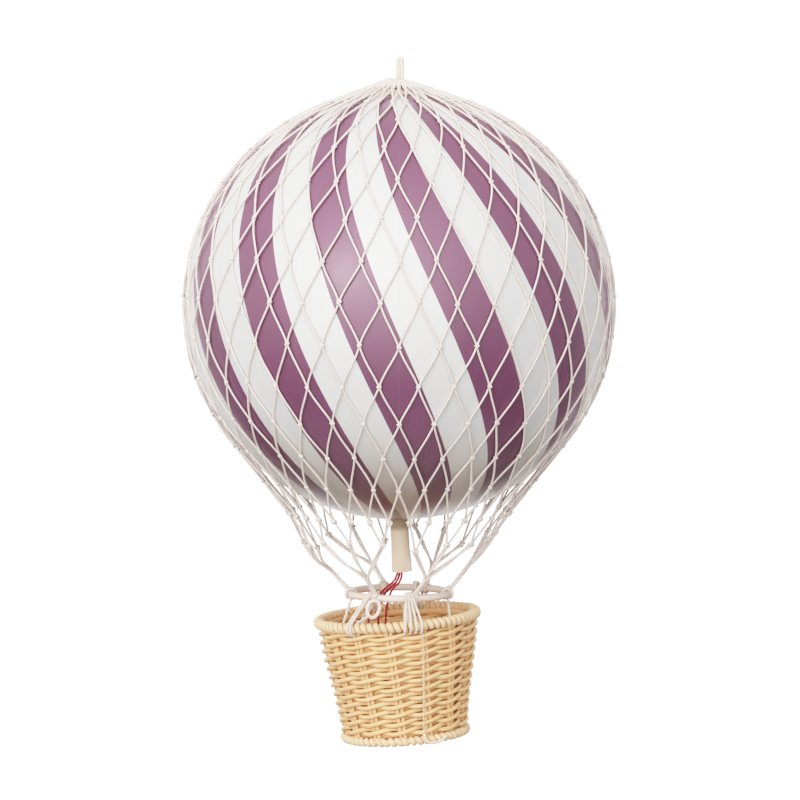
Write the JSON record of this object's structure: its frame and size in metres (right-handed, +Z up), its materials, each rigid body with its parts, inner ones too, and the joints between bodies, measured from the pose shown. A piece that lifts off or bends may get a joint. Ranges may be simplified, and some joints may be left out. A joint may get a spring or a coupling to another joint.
{
  "type": "hanging balloon ornament",
  "caption": "Decorative hot-air balloon to hang from a cord loop: striped hollow ball in a knotted twine net, with a cane load ring and a woven basket below.",
  "frame": {"origin": "inside top of the hanging loop, where a hook or a thread carries the ornament", "axes": "+Z up along the loop and the ball's axis; -Y is the front, where the white cord runs down the basket; +X is the viewer's right"},
  "size_m": [0.2038, 0.2038, 0.3235],
  "materials": {
    "lacquered_shell": "light moulded shell painted white with slanting purple stripes, satin lacquer",
    "band_card": "plain card",
    "washer_wood": "plain thin wood",
    "loop_cord": "cream twisted cord, matte",
    "net_twine": "pale pinkish cream cotton twine, matte",
    "neck_paper": "tan paper, matte",
    "red_cord": "crimson thin cord, matte",
    "ring_cane": "pale bent cane, low sheen",
    "white_cord": "off-white cotton cord, matte",
    "rim_cane": "pale peeled cane, low sheen",
    "wall_cane": "natural cane, low sheen"
  },
  "bodies": {
    "hanger": {"hanging_loop": "loop_cord"},
    "turning_washer": {"washer": "washer_wood"},
    "envelope": {"upper_shell": "lacquered_shell", "lower_shell": "lacquered_shell", "joining_band": "band_card", "crown_lashing": "net_twine", "net": "net_twine", "crows_foot_01": "net_twine", "crows_foot_02": "net_twine", "crows_foot_03": "net_twine", "crows_foot_04": "net_twine", "crows_foot_05": "net_twine", "crows_foot_06": "net_twine", "neck_sleeve": "neck_paper", "red_line_01": "red_cord", "red_line_02": "red_cord", "red_line_03": "red_cord"},
    "ring": {"load_ring": "ring_cane", "ring_whipping_01": "net_twine", "ring_whipping_02": "net_twine", "ring_whipping_03": "net_twine", "ring_whipping_04": "net_twine", "ring_whipping_05": "net_twine", "ring_whipping_06": "net_twine"},
    "basket": {"basket_rim": "rim_cane", "basket_wall": "wall_cane", "basket_floor": "wall_cane", "basket_foot_border": "wall_cane", "basket_cord": "white_cord", "basket_tie_01": "white_cord", "basket_tie_02": "white_cord", "basket_tie_03": "white_cord", "basket_tie_04": "white_cord", "basket_tie_05": "white_cord", "basket_tie_06": "white_cord"}
  },
  "joints": [
    {"name": "crown_swivel", "type": "hinge", "parent": "hanger", "child": "turning_washer", "pos_m": [0, 0, -0.0115], "axis": [0, 0, 1], "range_deg": [-180, 180]},
    {"name": "crown_swing", "type": "hinge", "parent": "turning_washer", "child": "envelope", "pos_m": [0, 0, -0.0115], "axis": [0, 1, 0], "range_deg": [-12, 12]},
    {"name": "ring_tilt", "type": "hinge", "parent": "envelope", "child": "ring", "pos_m": [0, 0, -0.2517], "axis": [0, 1, 0], "range_deg": [-7, 7]},
    {"name": "basket_rock", "type": "hinge", "parent": "ring", "child": "basket", "pos_m": [0, 0, -0.2517], "axis": [1, 0, 0], "range_deg": [-8, 8]}
  ]
}
